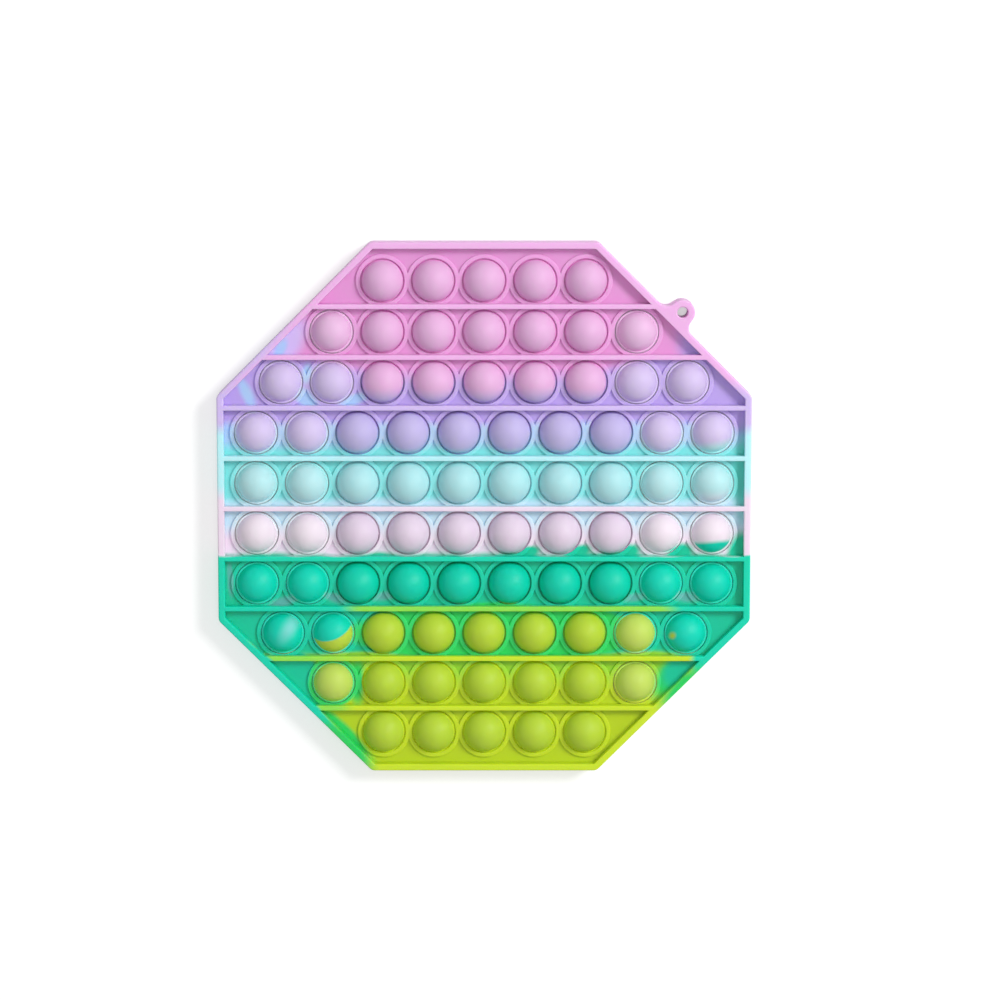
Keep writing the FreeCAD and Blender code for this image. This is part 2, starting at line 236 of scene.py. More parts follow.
DOMES = ColourField(
    bands=(
        Band(Tint.PINK, 43.4, 5.0), Band(Tint.VIOLET, 21.0, 4.0), Band(Tint.AQUA_DOME, 0.0, 2.0),
        Band(Tint.BLUSH_DOME, -18.2, 0.8), Band(Tint.GREEN_DOME, -38.0, 1.0),
        Band(Tint.LIME_DOME, -RAMP_REACH),
    ),
    patches=(
        Patch(Tint.LAVENDER_DOME, -67.0, 47.5, 19.5, 9.5, 0.0, 0.03),
        Patch(Tint.LAVENDER_DOME, 67.0, 47.5, 19.5, 9.5, 0.0, 0.03),
        Patch(Tint.ORCHID, -76.0, 28.5, 19.5, 9.5, 0.0, 0.03),
        Patch(Tint.ORCHID, 76.0, 28.5, 19.5, 9.5, 0.0, 0.03),
        Patch(Tint.AQUA_DOME, 87.0, 20.2, 14.0, 4.6, 10.0, 0.5),
        Patch(Tint.MIST, 86.0, 2.4, 16.0, 3.2, 4.0, 0.8),
        Patch(Tint.PALE_ROSE, -76.0, -9.5, 19.5, 9.0, 0.0, 0.03),
        Patch(Tint.PALE_ROSE, 76.0, -9.5, 19.5, 9.0, 0.0, 0.03),
        Patch(Tint.GREEN_DOME, 84.0, -17.2, 20.0, 4.6, 8.0, 0.2),
        Patch(Tint.LIME_PALE, -57.0, -66.5, 9.5, 9.5, 0.0, 0.03),
        Patch(Tint.LIME_PALE, 57.0, -57.0, 9.5, 24.0, 0.0, 0.03),
        Patch(Tint.GREEN_DOME, -76.0, -47.5, 9.5, 9.5, 0.0, 0.03),
        Patch(Tint.GREEN_DOME, -59.0, -42.8, 10.5, 6.4, 17.0, 0.06),
        Patch(Tint.SILVER_GREEN, -73.5, -45.2, 4.6, 2.2, 60.0, 0.9),
        Patch(Tint.GREEN_DOME, 77.0, -47.5, 8.8, 9.5, 0.0, 0.05),
        Patch(Tint.LIME_DOME, 70.8, -48.0, 1.3, 0.9, 60.0, 0.8),
    ),
    stray=1.4,
)

# Painted light: brighter colours laid into the grooves round the domes, lifting the shade in them
GROOVE_PAINTED_LIGHT = ColourField(
    bands=(
        Band(Tint.PINK_GROOVE_PAINTED_LIGHT, 50.0, 6.0), Band(Tint.LAVENDER, 29.0, 4.0), Band(Tint.ICE_BLUE, 19.0, 1.5),
        Band(Tint.AQUA_PALE, 0.5, 2.0), Band(Tint.BLUSH, -17.4, 1.5), Band(Tint.GREEN, -55.4, 1.2),
        Band(Tint.LIME_GROOVE_PAINTED_LIGHT, -RAMP_REACH),
    ),
    patches=(
        Patch(Tint.LAVENDER, -76.0, 47.5, 34.0, 9.0, 0.0, 0.2),
        Patch(Tint.LAVENDER, 70.0, 47.5, 30.0, 9.0, 0.0, 0.2),
        Patch(Tint.LEAF_LIME, 6.0, -47.5, 58.0, 11.0, 0.0, 0.08),
        Patch(Tint.LEAF, -57.0, -66.5, 9.8, 9.8, 0.0, 0.06),
    ),
    stray=2.2,
)


@dataclass(frozen=True)
class SiliconeFinish:
    """Satin surface of mould-coloured silicone, with its lengths in millimetres and the shares of its
    painted light.
    """

    roughness: float = 0.48
    specular: float = 0.25
    glow: float = 0.6
    glow_reach: float = 2.5
    # Shares of painted light: paler outer domes, painted highlights on collars and lips, and the grooves'
    # painted light paled further round outer domes
    outer_dome_painted_light: float = 0.12
    collar_painted_highlight: float = 0.14
    lip_painted_highlight: float = 0.4
    outer_groove_painted_light: float = 0.7
    cloud_span: float = 22.0
    cloud_detail: float = 2.0
    grain_span: float = 0.5
    grain_detail: float = 3.0
    grain_depth: float = 0.02
    grain_strength: float = 0.35


@dataclass(frozen=True)
class SoftLamp:
    """Square soft box: where it stands and how strong it is."""

    name: str
    place: tuple[float, float, float]
    side: float
    watts: float


@dataclass(frozen=True)
class Setting:
    """Camera, lamps and floor, in metres, degrees and watts, with the board's middle in pixels."""

    camera_distance: float = 1.4
    camera_reach: float = 20.0
    camera_lean: float = 8.0
    frame_width: float = 0.3776
    middle_px: tuple[float, float] = (484.2, 505.3)
    sensor: float = 36.0
    lamps: tuple[SoftLamp, ...] = (
        SoftLamp("key", (1.35, 0.85, 1.50), 0.65, 30.8),
        SoftLamp("overhead", (0.0, 0.1, 1.90), 0.80, 5.5),
    )
    sky: float = 0.54
    floor_side: float = 6.0
    floor_grey: float = 0.62
    floor_lift: float = 0.50


class ShaderBench:
    """Adds nodes to one material and links them."""

    def __init__(self, tree: bpy.types.NodeTree) -> None:
        """Start with an empty tree."""
        self.tree = tree
        tree.nodes.clear()

    def add(self, kind: str, inputs: dict[str | int, object], **settings: object) -> bpy.types.Node:
        """Add a node.

        Args:
            kind: name of the node type.
            inputs: value or other node's socket for each of its sockets, by name or number.
            settings: the node's own properties.

        Returns:
            The node.
        """
        node = self.tree.nodes.new(kind)
        for name, value in settings.items():
            setattr(node, name, value)
        for key, value in inputs.items():
            if isinstance(value, bpy.types.NodeSocket):
                self.tree.links.new(value, node.inputs[key])
            else:
                node.inputs[key].default_value = value
        return node

    def mix(self, factor: bpy.types.NodeSocket, first: bpy.types.NodeSocket,
            second: bpy.types.NodeSocket | Colour) -> bpy.types.NodeSocket:
        """Colour that goes from the first to the second with the factor."""
        node = self.add("ShaderNodeMix", {MIX_FACTOR: factor, MIX_FIRST: first, MIX_SECOND: second},
                        data_type="RGBA")
        return node.outputs[MIX_RESULT]

    def paled(self, colour: bpy.types.NodeSocket, cover: bpy.types.NodeSocket,
              share: float) -> bpy.types.NodeSocket:
        """Colour raised to the power of 1 - cover * share."""
        power = self.add("ShaderNodeMath", {0: cover, 1: -share, 2: 1.0}, operation="MULTIPLY_ADD")
        return self.add("ShaderNodeGamma", {"Color": colour, "Gamma": power.outputs[0]}).outputs[0]

    def cloud(self, place: bpy.types.NodeSocket, span: float, detail: float) -> bpy.types.NodeSocket:
        """Cloudy noise about zero: each of its three parts is the noise less 1/2.

        Args:
            place: position in millimetres.
            span: size of the clouds in millimetres.
            detail: number of finer layers of the noise.

        Returns:
            The noise.
        """
        noise = self.add("ShaderNodeTexNoise", {"Vector": place, "Scale": 1 / span, "Detail": detail})
        centred = self.add("ShaderNodeVectorMath", {0: noise.outputs["Color"], 1: (0.5, 0.5, 0.5)},
                           operation="SUBTRACT")
        return centred.outputs[0]

    def field(self, layout: ColourField, place: bpy.types.NodeSocket,
              cloud: bpy.types.NodeSocket) -> bpy.types.NodeSocket:
        """Colour of a layout at a place: its bands along Y with its patches laid over them.

        The place first strays: it moves by the cloud times twice the layout's stray. A patch covers
        where the length of ((place - middle) turned back and divided by the half lengths) is under 1,
        with a smooth step of its softness on both sides.

        Args:
            layout: bands and patches.
            place: position in millimetres.
            cloud: noise about zero.

        Returns:
            The colour.
        """
        moved = self.add("ShaderNodeVectorMath", {0: cloud, 1: (2 * layout.stray,) * 3, 2: place},
                         operation="MULTIPLY_ADD").outputs[0]
        height = self.add("ShaderNodeSeparateXYZ", {0: moved}).outputs["Y"]
        share = self.add("ShaderNodeMapRange", {"Value": height, "From Min": -RAMP_REACH,
                                                "From Max": RAMP_REACH})
        ramp = self.add("ShaderNodeValToRGB", {0: share.outputs[0]})
        self.fill_ramp(ramp.color_ramp, layout.bands)
        colour = ramp.outputs["Color"]
        for patch in layout.patches:
            local = self.add("ShaderNodeMapping", {
                "Vector": moved, "Location": (patch.x, patch.y, 0.0),
                "Rotation": (0.0, 0.0, math.radians(patch.turn)),
                "Scale": (patch.long, patch.short, PATCH_DEPTH),
            }, vector_type="TEXTURE")
            length = self.add("ShaderNodeVectorMath", {0: local.outputs[0]}, operation="LENGTH")
            cover = self.add("ShaderNodeMapRange", {
                "Value": length.outputs["Value"], "From Min": 1 + patch.soft, "From Max": 1 - patch.soft,
            }, interpolation_type="SMOOTHSTEP")
            colour = self.mix(cover.outputs[0], colour, patch.tint.linear())
        return colour

    @staticmethod
    def fill_ramp(ramp: bpy.types.ColorRamp, bands: tuple[Band, ...]) -> None:
        """Two stops at each border, half its softness above and below it.

        Args:
            ramp: the ramp, which runs from its reach below the middle to its reach above it.
            bands: the bands from the top down.
        """
        stops = [(1.0, bands[0].tint)]
        for upper, lower in zip(bands, bands[1:]):
            border = (upper.lower + RAMP_REACH) / (2 * RAMP_REACH)
            half = upper.soft / (4 * RAMP_REACH)
            stops += [(border + half, upper.tint), (border - half, lower.tint)]
        stops.sort(key=lambda stop: stop[0])
        first, last = ramp.elements[0], ramp.elements[1]
        first.position, last.position = stops[0][0], stops[-1][0]
        first.color, last.color = stops[0][1].linear(), stops[-1][1].linear()
        for position, tint in stops[1:-1]:
            ramp.elements.new(position).color = tint.linear()


@dataclass
class SiliconeMaterial:
    """Silicone pressed from doughs of several colours, laid out level by level, with painted light in
    places.
    """

    finish: SiliconeFinish

    def build(self) -> bpy.types.Material:
        """Make the material.

        The rim and ribs, the sheet with its collars, and the domes each follow their own layout,
        chosen by the skin's zone attributes. Outer domes are paler as painted light, and collars and lips
        as painted highlights: their colour is raised to the power of 1 minus their paling. The grooves have
        a layout of brighter colours, painted light that lifts their shade, which is paled again round the
        outer domes.

        Returns:
            The material.
        """
        material = bpy.data.materials.new("tie_dye_silicone_with_painted_light")
        material.use_nodes = True
        bench = ShaderBench(material.node_tree)
        where = bench.add("ShaderNodeTexCoord", {})
        place = bench.add("ShaderNodeVectorMath", {0: where.outputs["Object"], 1: (1 / MM,) * 3},
                          operation="MULTIPLY").outputs[0]
        zones = {zone: bench.add("ShaderNodeAttribute", {}, attribute_name=zone.value).outputs["Fac"]
                 for zone in Zone}
        finish = self.finish
        cloud = bench.cloud(place, finish.cloud_span, finish.cloud_detail)
        colour = bench.field(SHEET, place, cloud)
        colour = bench.mix(zones[Zone.RAISED], colour, bench.field(RIM_AND_RIBS, place, cloud))
        colour = bench.mix(zones[Zone.DOME], colour, bench.field(DOMES, place, cloud))
        # Painted light: paler outer domes, and painted highlights on collars and lips
        for zone, share in ((Zone.OUTER_DOME, finish.outer_dome_painted_light), (Zone.COLLAR, finish.collar_painted_highlight),
                            (Zone.LIP, finish.lip_painted_highlight)):
            colour = bench.paled(colour, zones[zone], share)
        # Painted light in the grooves, paled further round the outer domes
        colour = bench.mix(zones[Zone.GROOVE], colour, bench.field(GROOVE_PAINTED_LIGHT, place, cloud))
        colour = bench.paled(colour, zones[Zone.OUTER_GROOVE], finish.outer_groove_painted_light)

        grain = bench.add("ShaderNodeTexNoise", {"Vector": place, "Scale": 1 / finish.grain_span,
                                                 "Detail": finish.grain_detail})
        bump = bench.add("ShaderNodeBump", {"Height": grain.outputs["Fac"],
                                            "Strength": finish.grain_strength,
                                            "Distance": finish.grain_depth * MM})
        skin = bench.add("ShaderNodeBsdfPrincipled", {
            "Base Color": colour, "Roughness": finish.roughness, "Specular IOR Level": finish.specular,
            "Subsurface Weight": finish.glow, "Subsurface Radius": colour,
            "Subsurface Scale": finish.glow_reach * MM, "Normal": bump.outputs["Normal"],
        })
        bench.add("ShaderNodeOutputMaterial", {"Surface": skin.outputs[0]})
        return material


@dataclass(frozen=True)
class BoardSizes:
    """Sizes of the moulding in millimetres, from its parting plane half way up the rim.

    The draft is how far a wall leans for each millimetre of its height, lip_bevel is the bevel's width
    and height, and row_counts gives the bubbles of each row from the middle outwards. Domes further
    than lip_from along their row have a skirt that ends in a lip.
    """

    half_width: float
    rim_half_height: float = 5.25
    corner_cut: float = 57.5
    corner_round: float = 3.0
    rim_width: float = 2.5
    outline_round: float = 0.6
    sheet_half: float = 1.2
    draft: float = math.tan(math.radians(2.0))
    pitch: float = PITCH
    rib_half_width: float = 0.9
    rib_round: float = 0.35
    dome_radius: float = 7.9
    dome_wall: float = 0.9
    hinge_half: float = 0.4
    collar_inner: float = 8.3
    collar_outer: float = 9.9
    collar_half: float = 2.1
    collar_round: float = 0.25
    bore_radius: float = 8.45
    lip_inner: float = 7.5
    lip_outer: float = 7.95
    lip_half: float = 2.3
    lip_bevel: tuple[float, float] = (0.12, 0.15)
    lip_sink: float = 0.05
    lip_from: float = 56.0
    lipped_dome_radius: float = 7.5
    tab_radius: float = 4.7
    tab_reach: float = 3.7
    tab_blend: float = 4.0
    tab_hole: float = 2.0
    row_counts: tuple[int, ...] = (10, 10, 9, 7, 5)

    @property
    def flat_end(self) -> float:
        """Distance from the middle of a straight side to its end."""
        return self.half_width - self.corner_cut

    def bubble_places(self) -> np.ndarray:
        """Middle of every bubble.

        Row k from the middle lies (k - 1/2) pitches up or down, and its bubbles are a pitch apart,
        centred on the board.

        Returns:
            Array of x, y pairs.
        """
        places = []
        for step, count in enumerate(self.row_counts, start=1):
            along = (np.arange(count) - (count - 1) / 2) * self.pitch
            for sign in (1, -1):
                across = np.full(count, sign * (step - 0.5) * self.pitch)
                places.append(np.column_stack([along, across]))
        return np.vstack(places)


@dataclass
class Skin:
    """Closed skin as an array of points in millimetres and a list of faces."""

    points: np.ndarray
    faces: list[tuple[int, ...]]

    def repeated(self, places: np.ndarray) -> "Skin":
        """Copies of this skin moved to several places, as one skin of separate shells.

        Args:
            places: x, y pairs.

        Returns:
            The joined copies.
        """
        moves = np.column_stack([places, np.zeros(len(places))])
        points = (self.points[None, :, :] + moves[:, None, :]).reshape(-1, 3)
        count = len(self.points)
        faces = [tuple(corner + copy * count for corner in face)
                 for copy in range(len(places)) for face in self.faces]
        return Skin(points, faces)


@dataclass(frozen=True)
class Outline:
    """Smooth closed outline in plan: points with the outward direction at each."""

    points: np.ndarray
    outward: np.ndarray

    @staticmethod
    def from_arcs(arcs: list[Arc], steps: int) -> "Outline":
        """Outline of arcs joined by straight runs.

        Each arc is its centre plus its radius times the unit vector at an angle that runs evenly from
        the first to the last. Outward is that vector, or its opposite on a hollow arc, whose radius is
        given as negative.

        Args:
            arcs: centre, radius, first and last angle in degrees, anticlockwise round the outline.
            steps: number of spans on each arc.

        Returns:
            The outline.
        """
        points, outward = [], []
        for centre, radius, first, last in arcs:
            angle = np.radians(np.linspace(first, last, steps + 1))
            unit = np.column_stack([np.cos(angle), np.sin(angle)])
            points.append(np.array(centre) + abs(radius) * unit)
            outward.append(unit * np.sign(radius))
        return Outline(np.vstack(points), np.vstack(outward))

    @staticmethod
    def circle(centre: tuple[float, float], radius: float, around: int) -> "Outline":
        """Full circle of evenly spaced points.

        Args:
            centre: its middle.
            radius: its radius.
            around: number of points.

        Returns:
            The outline.
        """
        return Outline.from_arcs([(centre, radius, 0.0, 360.0 - 360.0 / around)], around - 1)

    def stacked(self, levels: list[tuple[float, float]]) -> Skin:
        """Closed skin with this outline, moved outwards by an offset at each height.

        A ring's points are the outline's points plus the offset times the outward direction. Walls
        run from ring to ring, and the first and last rings are closed by flat faces.

        Args:
            levels: offset and height of each ring, from the lowest up.

        Returns:
            The skin.
        """
        offsets = np.array([offset for offset, _ in levels])
        heights = np.array([height for _, height in levels])
        plan = self.points[None, :, :] + offsets[:, None, None] * self.outward[None, :, :]
        rise = np.broadcast_to(heights[:, None, None], (*plan.shape[:2], 1))
        around = len(self.points)
        faces = ring_faces(len(levels), around)
        faces.append(tuple(range(around))[::-1])
        faces.append(tuple(range((len(levels) - 1) * around, len(levels) * around)))
        return Skin(np.concatenate([plan, rise], axis=2).reshape(-1, 3), faces)


def ring_faces(rings: int, around: int) -> list[tuple[int, ...]]:
    """Four-sided faces between neighbouring closed rings of points.

    Args:
        rings: number of rings.
        around: points in each ring, anticlockwise from above when the rings run upwards.

    Returns:
        Corner numbers of each face, turned to face outwards.
    """
    ring, spot = np.meshgrid(np.arange(rings - 1), np.arange(around), indexing="ij")
    after = (spot + 1) % around
    corners = [ring * around + spot, ring * around + after,
               (ring + 1) * around + after, (ring + 1) * around + spot]
    return [tuple(face) for face in np.stack(corners, axis=-1).reshape(-1, 4).tolist()]


def turned(section: np.ndarray, around: int) -> Skin:
    """Skin of a section turned about the upright axis through its two ends.

    A point of the section at radius r and height z becomes a ring of points
    (r cos a, r sin a, z). The two ends lie on the axis, and each is one point closed by a fan.

    Args:
        section: radius and height pairs, from the lower end on the axis round to the upper end.
        around: points in each ring.

    Returns:
        The skin.
    """
    angle = np.linspace(0.0, 2 * math.pi, around, endpoint=False)
    radius, height = section[1:-1, 0][:, None], section[1:-1, 1][:, None]
    rings = np.stack([radius * np.cos(angle), radius * np.sin(angle),
                      np.broadcast_to(height, (len(radius), around))], axis=-1)
    count = len(radius)
    poles = np.array([[0.0, 0.0, section[0, 1]], [0.0, 0.0, section[-1, 1]]])
    low, high = count * around, count * around + 1
    spot = np.arange(around)
    after = (spot + 1) % around
    first_fan = np.column_stack([np.full(around, low), after, spot])
    last_ring = (count - 1) * around
    last_fan = np.column_stack([np.full(around, high), last_ring + spot, last_ring + after])
    fans = [tuple(face) for face in np.vstack([first_fan, last_fan]).tolist()]
    return Skin(np.vstack([rings.reshape(-1, 3), poles]), ring_faces(count, around) + fans)


def arc_points(centre: tuple[float, float], radius: float, first: float, last: float,
               steps: int) -> np.ndarray:
    """Points along an arc: the centre plus the radius times the unit vector at evenly spaced angles.

    Args:
        centre: middle of the arc.
        radius: its radius.
        first: first angle in degrees.
        last: last angle in degrees.
        steps: number of spans.

    Returns:
        Array of pairs.
    """
    angle = np.radians(np.linspace(first, last, steps + 1))
    return np.column_stack([centre[0] + radius * np.cos(angle), centre[1] + radius * np.sin(angle)])


def make_object(name: str, skin: Skin) -> bpy.types.Object:
    """Object of a skin, with its points turned from millimetres to metres.

    Args:
        name: the object's name.
        skin: the skin.

    Returns:
        The object, linked to the scene.
    """
    mesh = bpy.data.meshes.new(name)
    mesh.from_pydata((skin.points * MM).tolist(), [], skin.faces)
    mesh.validate()
    piece = bpy.data.objects.new(name, mesh)
    bpy.context.scene.collection.objects.link(piece)
    return piece


def combine(base: bpy.types.Object, tool: bpy.types.Object, cut: Cut) -> None:
    """Join a tool's skin to the base or cut it away, and remove the tool.

    Args:
        base: object that keeps the result.
        tool: object that is used up.
        cut: what is done.
    """
    boolean = base.modifiers.new("combine", "BOOLEAN")
    boolean.operation = cut.value
    boolean.solver = "MANIFOLD"
    boolean.object = tool
    evaluated = base.evaluated_get(bpy.context.evaluated_depsgraph_get())
    mesh = bpy.data.meshes.new_from_object(evaluated)
    base.modifiers.clear()
    old = base.data
    base.data = mesh
    mesh.name = base.name
    bpy.data.meshes.remove(old)
    tool_mesh = tool.data
    bpy.data.objects.remove(tool)
    bpy.data.meshes.remove(tool_mesh)


@dataclass
class Board:
    """The silicone moulding: rim, sheet, ribs, bubbles and hanging tab in one skin.

    Steps are spans of an arc, and around is the number of points in a ring. In millimetres, near is how
    close two heights or radii count as one, clear parts two levels, and foot_depth is how far a dome
    draws in over the lowest part of its foot. The sharp angle is in degrees.
    """

    sizes: BoardSizes
    arc_steps: int = 4
    dome_around: int = 36
    hole_around: int = 30
    cup_steps: int = 5
    dome_steps: int = 9
    collar_steps: int = 3
    collar_under_steps: int = 1
    near: float = 0.05
    clear: float = 0.3
    foot_depth: float = 0.2
    sharp_angle: float = 34.0

    def octagon_arcs(self, apothem: float, flat_end: float, radius: float) -> list[Arc]:
        """Rounded corners of an octagon.

        A corner's arc spans 45 degrees. Its centre lies in from both sides by the radius, so along the
        straight side it is back from the sharp corner by the radius times tan(22.5 degrees).

        Args:
            apothem: distance from the middle to each straight side.
            flat_end: distance from the middle of a straight side to the sharp corner.
            radius: radius of the corners.

        Returns:
            Centre, radius, first and last angle of the eight corners, from the right side upwards.
        """
        back = radius * math.tan(math.radians(22.5))
        near, far = flat_end - back, apothem - radius
        spots = [(far, near, 0), (near, far, 45), (-near, far, 90), (-far, near, 135),
                 (-far, -near, 180), (-near, -far, 225), (near, -far, 270), (far, -near, 315)]
        return [((x, y), radius, start, start + 45) for x, y, start in spots]

    def tab_arcs(self) -> list[Arc]:
        """Hollow, round and hollow arcs of the tab on the upper right side.

        With reach d, lobe radius R and blend radius f, the hollow arcs' centres stand out by f and lie
        sqrt((R + f)^2 - (d - f)^2) to each side of the tab's axis.

        Returns:
            Centre, radius, first and last angle of the three arcs, anticlockwise.
        """
        s = self.sizes
        foot = math.sqrt((s.tab_radius + s.tab_blend) ** 2 - (s.tab_reach - s.tab_blend) ** 2)
        lean = math.degrees(math.atan2(foot, s.tab_blend - s.tab_reach))
        middle = (s.half_width + s.flat_end) / 2
        out = np.array([1.0, 1.0]) / math.sqrt(2)
        along = np.array([-1.0, 1.0]) / math.sqrt(2)

        def place(outward: float, sideways: float) -> tuple[float, float]:
            """Point this far out of the side's middle and along it."""
            spot = np.array([middle, middle]) + outward * out + sideways * along
            return float(spot[0]), float(spot[1])

        return [
            (place(s.tab_blend, -foot), -s.tab_blend, 225.0, 45.0 + 180.0 - lean),
            (place(s.tab_reach, 0.0), s.tab_radius, 45.0 - lean, 45.0 + lean),
            (place(s.tab_blend, foot), -s.tab_blend, lean - 135.0, -135.0),
        ]

    def tab_bore(self) -> Skin:
        """Tool for the tab's hole, which flares to a rounded mouth on both faces.

        Returns:
            The tool's skin.
        """
        s = self.sizes
        across = (s.half_width + s.flat_end) / 2 + s.tab_reach / math.sqrt(2)
        outline = Outline.circle((across, across), s.tab_hole, self.hole_around)
        mouth = arc_points((s.outline_round, s.rim_half_height - s.outline_round), s.outline_round,
                           180.0, 90.0, self.arc_steps)
        upper = [*map(tuple, mouth.tolist()), (s.outline_round, s.rim_half_height + OVERSHOOT)]
        lower = [(offset, -height) for offset, height in reversed(upper)]
        return outline.stacked(lower + upper)

    def slab(self) -> Skin:
        """Full-height slab in the board's outline with rounded edges on both faces.

        Returns:
            The slab's skin.
        """
        s = self.sizes
        arcs = self.octagon_arcs(s.half_width, s.flat_end, s.corner_round)
        arcs[1:1] = self.tab_arcs()
        outline = Outline.from_arcs(arcs, 2 * self.arc_steps)
        edge = arc_points((-s.outline_round, s.rim_half_height - s.outline_round), s.outline_round,
                          0.0, 90.0, self.arc_steps)
        upper = [tuple(pair) for pair in edge.tolist()]
        lower = [(offset, -height) for offset, height in reversed(upper)]
        return outline.stacked(lower + upper)

    def tray(self, side: int) -> Skin:
        """Tool that sinks one face: drafted walls that flare into the rim's rounded inner edge.

        Args:
            side: 1 for the top face, -1 for the underside.

        Returns:
            The tool's skin.
        """
        s = self.sizes
        radius = s.corner_round - s.rim_width
        inner_end = s.flat_end - (math.sqrt(2) - 1) * s.rim_width
        arcs = self.octagon_arcs(s.half_width - s.rim_width, inner_end, radius)
        outline = Outline.from_arcs(arcs, self.arc_steps)
        depth = s.rim_half_height - s.sheet_half
        flare = arc_points((s.rib_round, s.rim_half_height - s.rib_round), s.rib_round,
                           180.0, 90.0, self.arc_steps)
        levels = [(-depth * s.draft, s.sheet_half), *map(tuple, flare.tolist()),
                  (s.rib_round, s.rim_half_height + OVERSHOOT)]
        if side < 0:
            levels = [(offset, -height) for offset, height in reversed(levels)]
        return outline.stacked(levels)

    def rib(self, step: int) -> Skin:
        """Rib between two rows: a drafted section with rounded edges carried from rim to rim.

        Args:
            step: number of pitches from the board's middle.

        Returns:
            The rib's skin.
        """
        s = self.sizes
        root = s.rib_half_width + s.rim_half_height * s.draft
        edge = arc_points((s.rib_half_width - s.rib_round, s.rim_half_height - s.rib_round), s.rib_round,
                          0.0, 90.0, self.arc_steps)
        quarter = np.vstack([[root, 0.0], edge])
        upper = np.vstack([quarter, quarter[::-1] * [-1, 1]])
        section = np.vstack([upper, upper[-2:0:-1] * [1, -1]])
        inner = s.half_width - s.rim_width
        inner_end = s.flat_end - (math.sqrt(2) - 1) * s.rim_width
        reach = min(inner, inner + inner_end - s.pitch * abs(step)) + root
        ends = np.array([-reach, reach])[:, None, None]
        across = section[None, :, 0:1] + step * s.pitch
        rings = np.concatenate([np.broadcast_to(ends, (2, len(section), 1)),
                                np.broadcast_to(across, (2, len(section), 1)),
                                np.broadcast_to(section[None, :, 1:2], (2, len(section), 1))], axis=2)
        around = len(section)
        faces = ring_faces(2, around)
        faces += [tuple(range(around))[::-1], tuple(range(around, 2 * around))]
        return Skin(rings.reshape(-1, 3), faces)

    def bubble(self, lipped: bool) -> Skin:
        """Dome, hinge groove and collar turned about the upright axis.

        The section starts at the top of the hollow, runs down the dome's inside, out under the hinge
        web, round the collar, in over the web and up the dome's outside. A lipped bubble has a slightly
        smaller dome in a thin upright skirt. The skirt rises from the web and ends in a narrow level lip
        with a bevelled edge. From the lip the surface sinks a little to meet the dome, at the angle
        asin((skirt height - sink) / dome radius).

        Args:
            lipped: whether the dome is the smaller one with the skirt.

        Returns:
            The bubble's skin.
        """
        s = self.sizes
        dome = s.lipped_dome_radius if lipped else s.dome_radius
        cup = dome - s.dome_wall
        soft, height = s.collar_round, s.collar_half
        near, far = s.collar_inner + soft, s.collar_outer - soft
        foot, lip = 0.0, np.empty((0, 2))
        if lipped:
            foot = math.degrees(math.asin((s.lip_half - s.lip_sink - s.hinge_half) / dome))
            lip = np.array([
                [s.lip_outer, s.hinge_half], [s.lip_outer, s.lip_half - s.lip_bevel[1]],
                [s.lip_outer - s.lip_bevel[0], s.lip_half], [s.lip_inner - s.lip_sink, s.lip_half],
            ])
        section = np.vstack([
            arc_points((0.0, s.hinge_half), cup, 90.0, 0.0, self.cup_steps),
            [[cup, -s.hinge_half], [s.collar_inner, -s.hinge_half]],
            arc_points((near, soft - height), soft, 180.0, 270.0, self.collar_under_steps),
            arc_points((far, soft - height), soft, 270.0, 360.0, self.collar_under_steps),
            arc_points((far, height - soft), soft, 0.0, 90.0, self.collar_steps),
            arc_points((near, height - soft), soft, 90.0, 180.0, self.collar_steps),
            [[s.collar_inner, s.hinge_half]],
            lip,
            arc_points((0.0, s.hinge_half), dome, foot, 90.0, self.dome_steps),
        ])
        return turned(section, self.dome_around)

    def mark_zones(self, mesh: bpy.types.Mesh) -> None:
        """Store each zone as an attribute of the points.

        A point is on a dome where its distance from the nearest bubble's axis is under the dome's
        radius, and on an outer dome where that bubble also lies far enough along its row to be
        lipped. On such a bubble it is on the lip where it lies about as far out as the skirt and close
        to its upper edge. It is on a collar where it lies no further out than the collar and well off
        the sheet. It is on the rim or a rib where it lies further from the parting plane than the
        collars do, and on neither a dome nor a lip. It is in a groove where it lies between the
        dome's foot and the collar's inner wall and no higher than that wall, and in an outer groove
        where its bubble is also lipped.

        Args:
            mesh: the skin, in metres from its parting plane.
        """
        s = self.sizes
        flat = np.empty(len(mesh.vertices) * 3, np.float32)
        mesh.vertices.foreach_get("co", flat)
        points = flat.reshape(-1, 3) / MM
        places = s.bubble_places()
        gaps = points[:, None, :2] - places[None, :, :]
        distance = np.hypot(gaps[..., 0], gaps[..., 1])
        reach = distance.min(axis=1)
        outer = np.abs(places[distance.argmin(axis=1), 0]) > s.lip_from
        height = np.abs(points[:, 2])
        lip = outer & (reach > s.lip_inner - 2 * self.near) & (reach < s.lip_outer + self.near)
        lip &= points[:, 2] > s.lip_half - self.clear
        dome = (reach < s.dome_radius + self.near) & ~lip
        raised = (height > s.collar_half + self.near) & ~dome & ~lip
        collar = (reach < s.collar_outer + self.near) & (height > s.sheet_half + self.clear)
        collar &= ~(dome | lip | raised)
        # The grooves are where the material lays its painted light
        groove = (reach > s.dome_radius - self.foot_depth) & (reach < s.collar_inner + self.near)
        groove &= height < s.collar_half - s.collar_round + self.near
        for zone, share in ((Zone.DOME, dome), (Zone.OUTER_DOME, dome & outer), (Zone.RAISED, raised),
                            (Zone.COLLAR, collar), (Zone.LIP, lip), (Zone.GROOVE, groove),
                            (Zone.OUTER_GROOVE, groove & outer)):
            mesh.attributes.new(zone.value, "FLOAT", "POINT").data.foreach_set(
                "value", share.astype(np.float32))

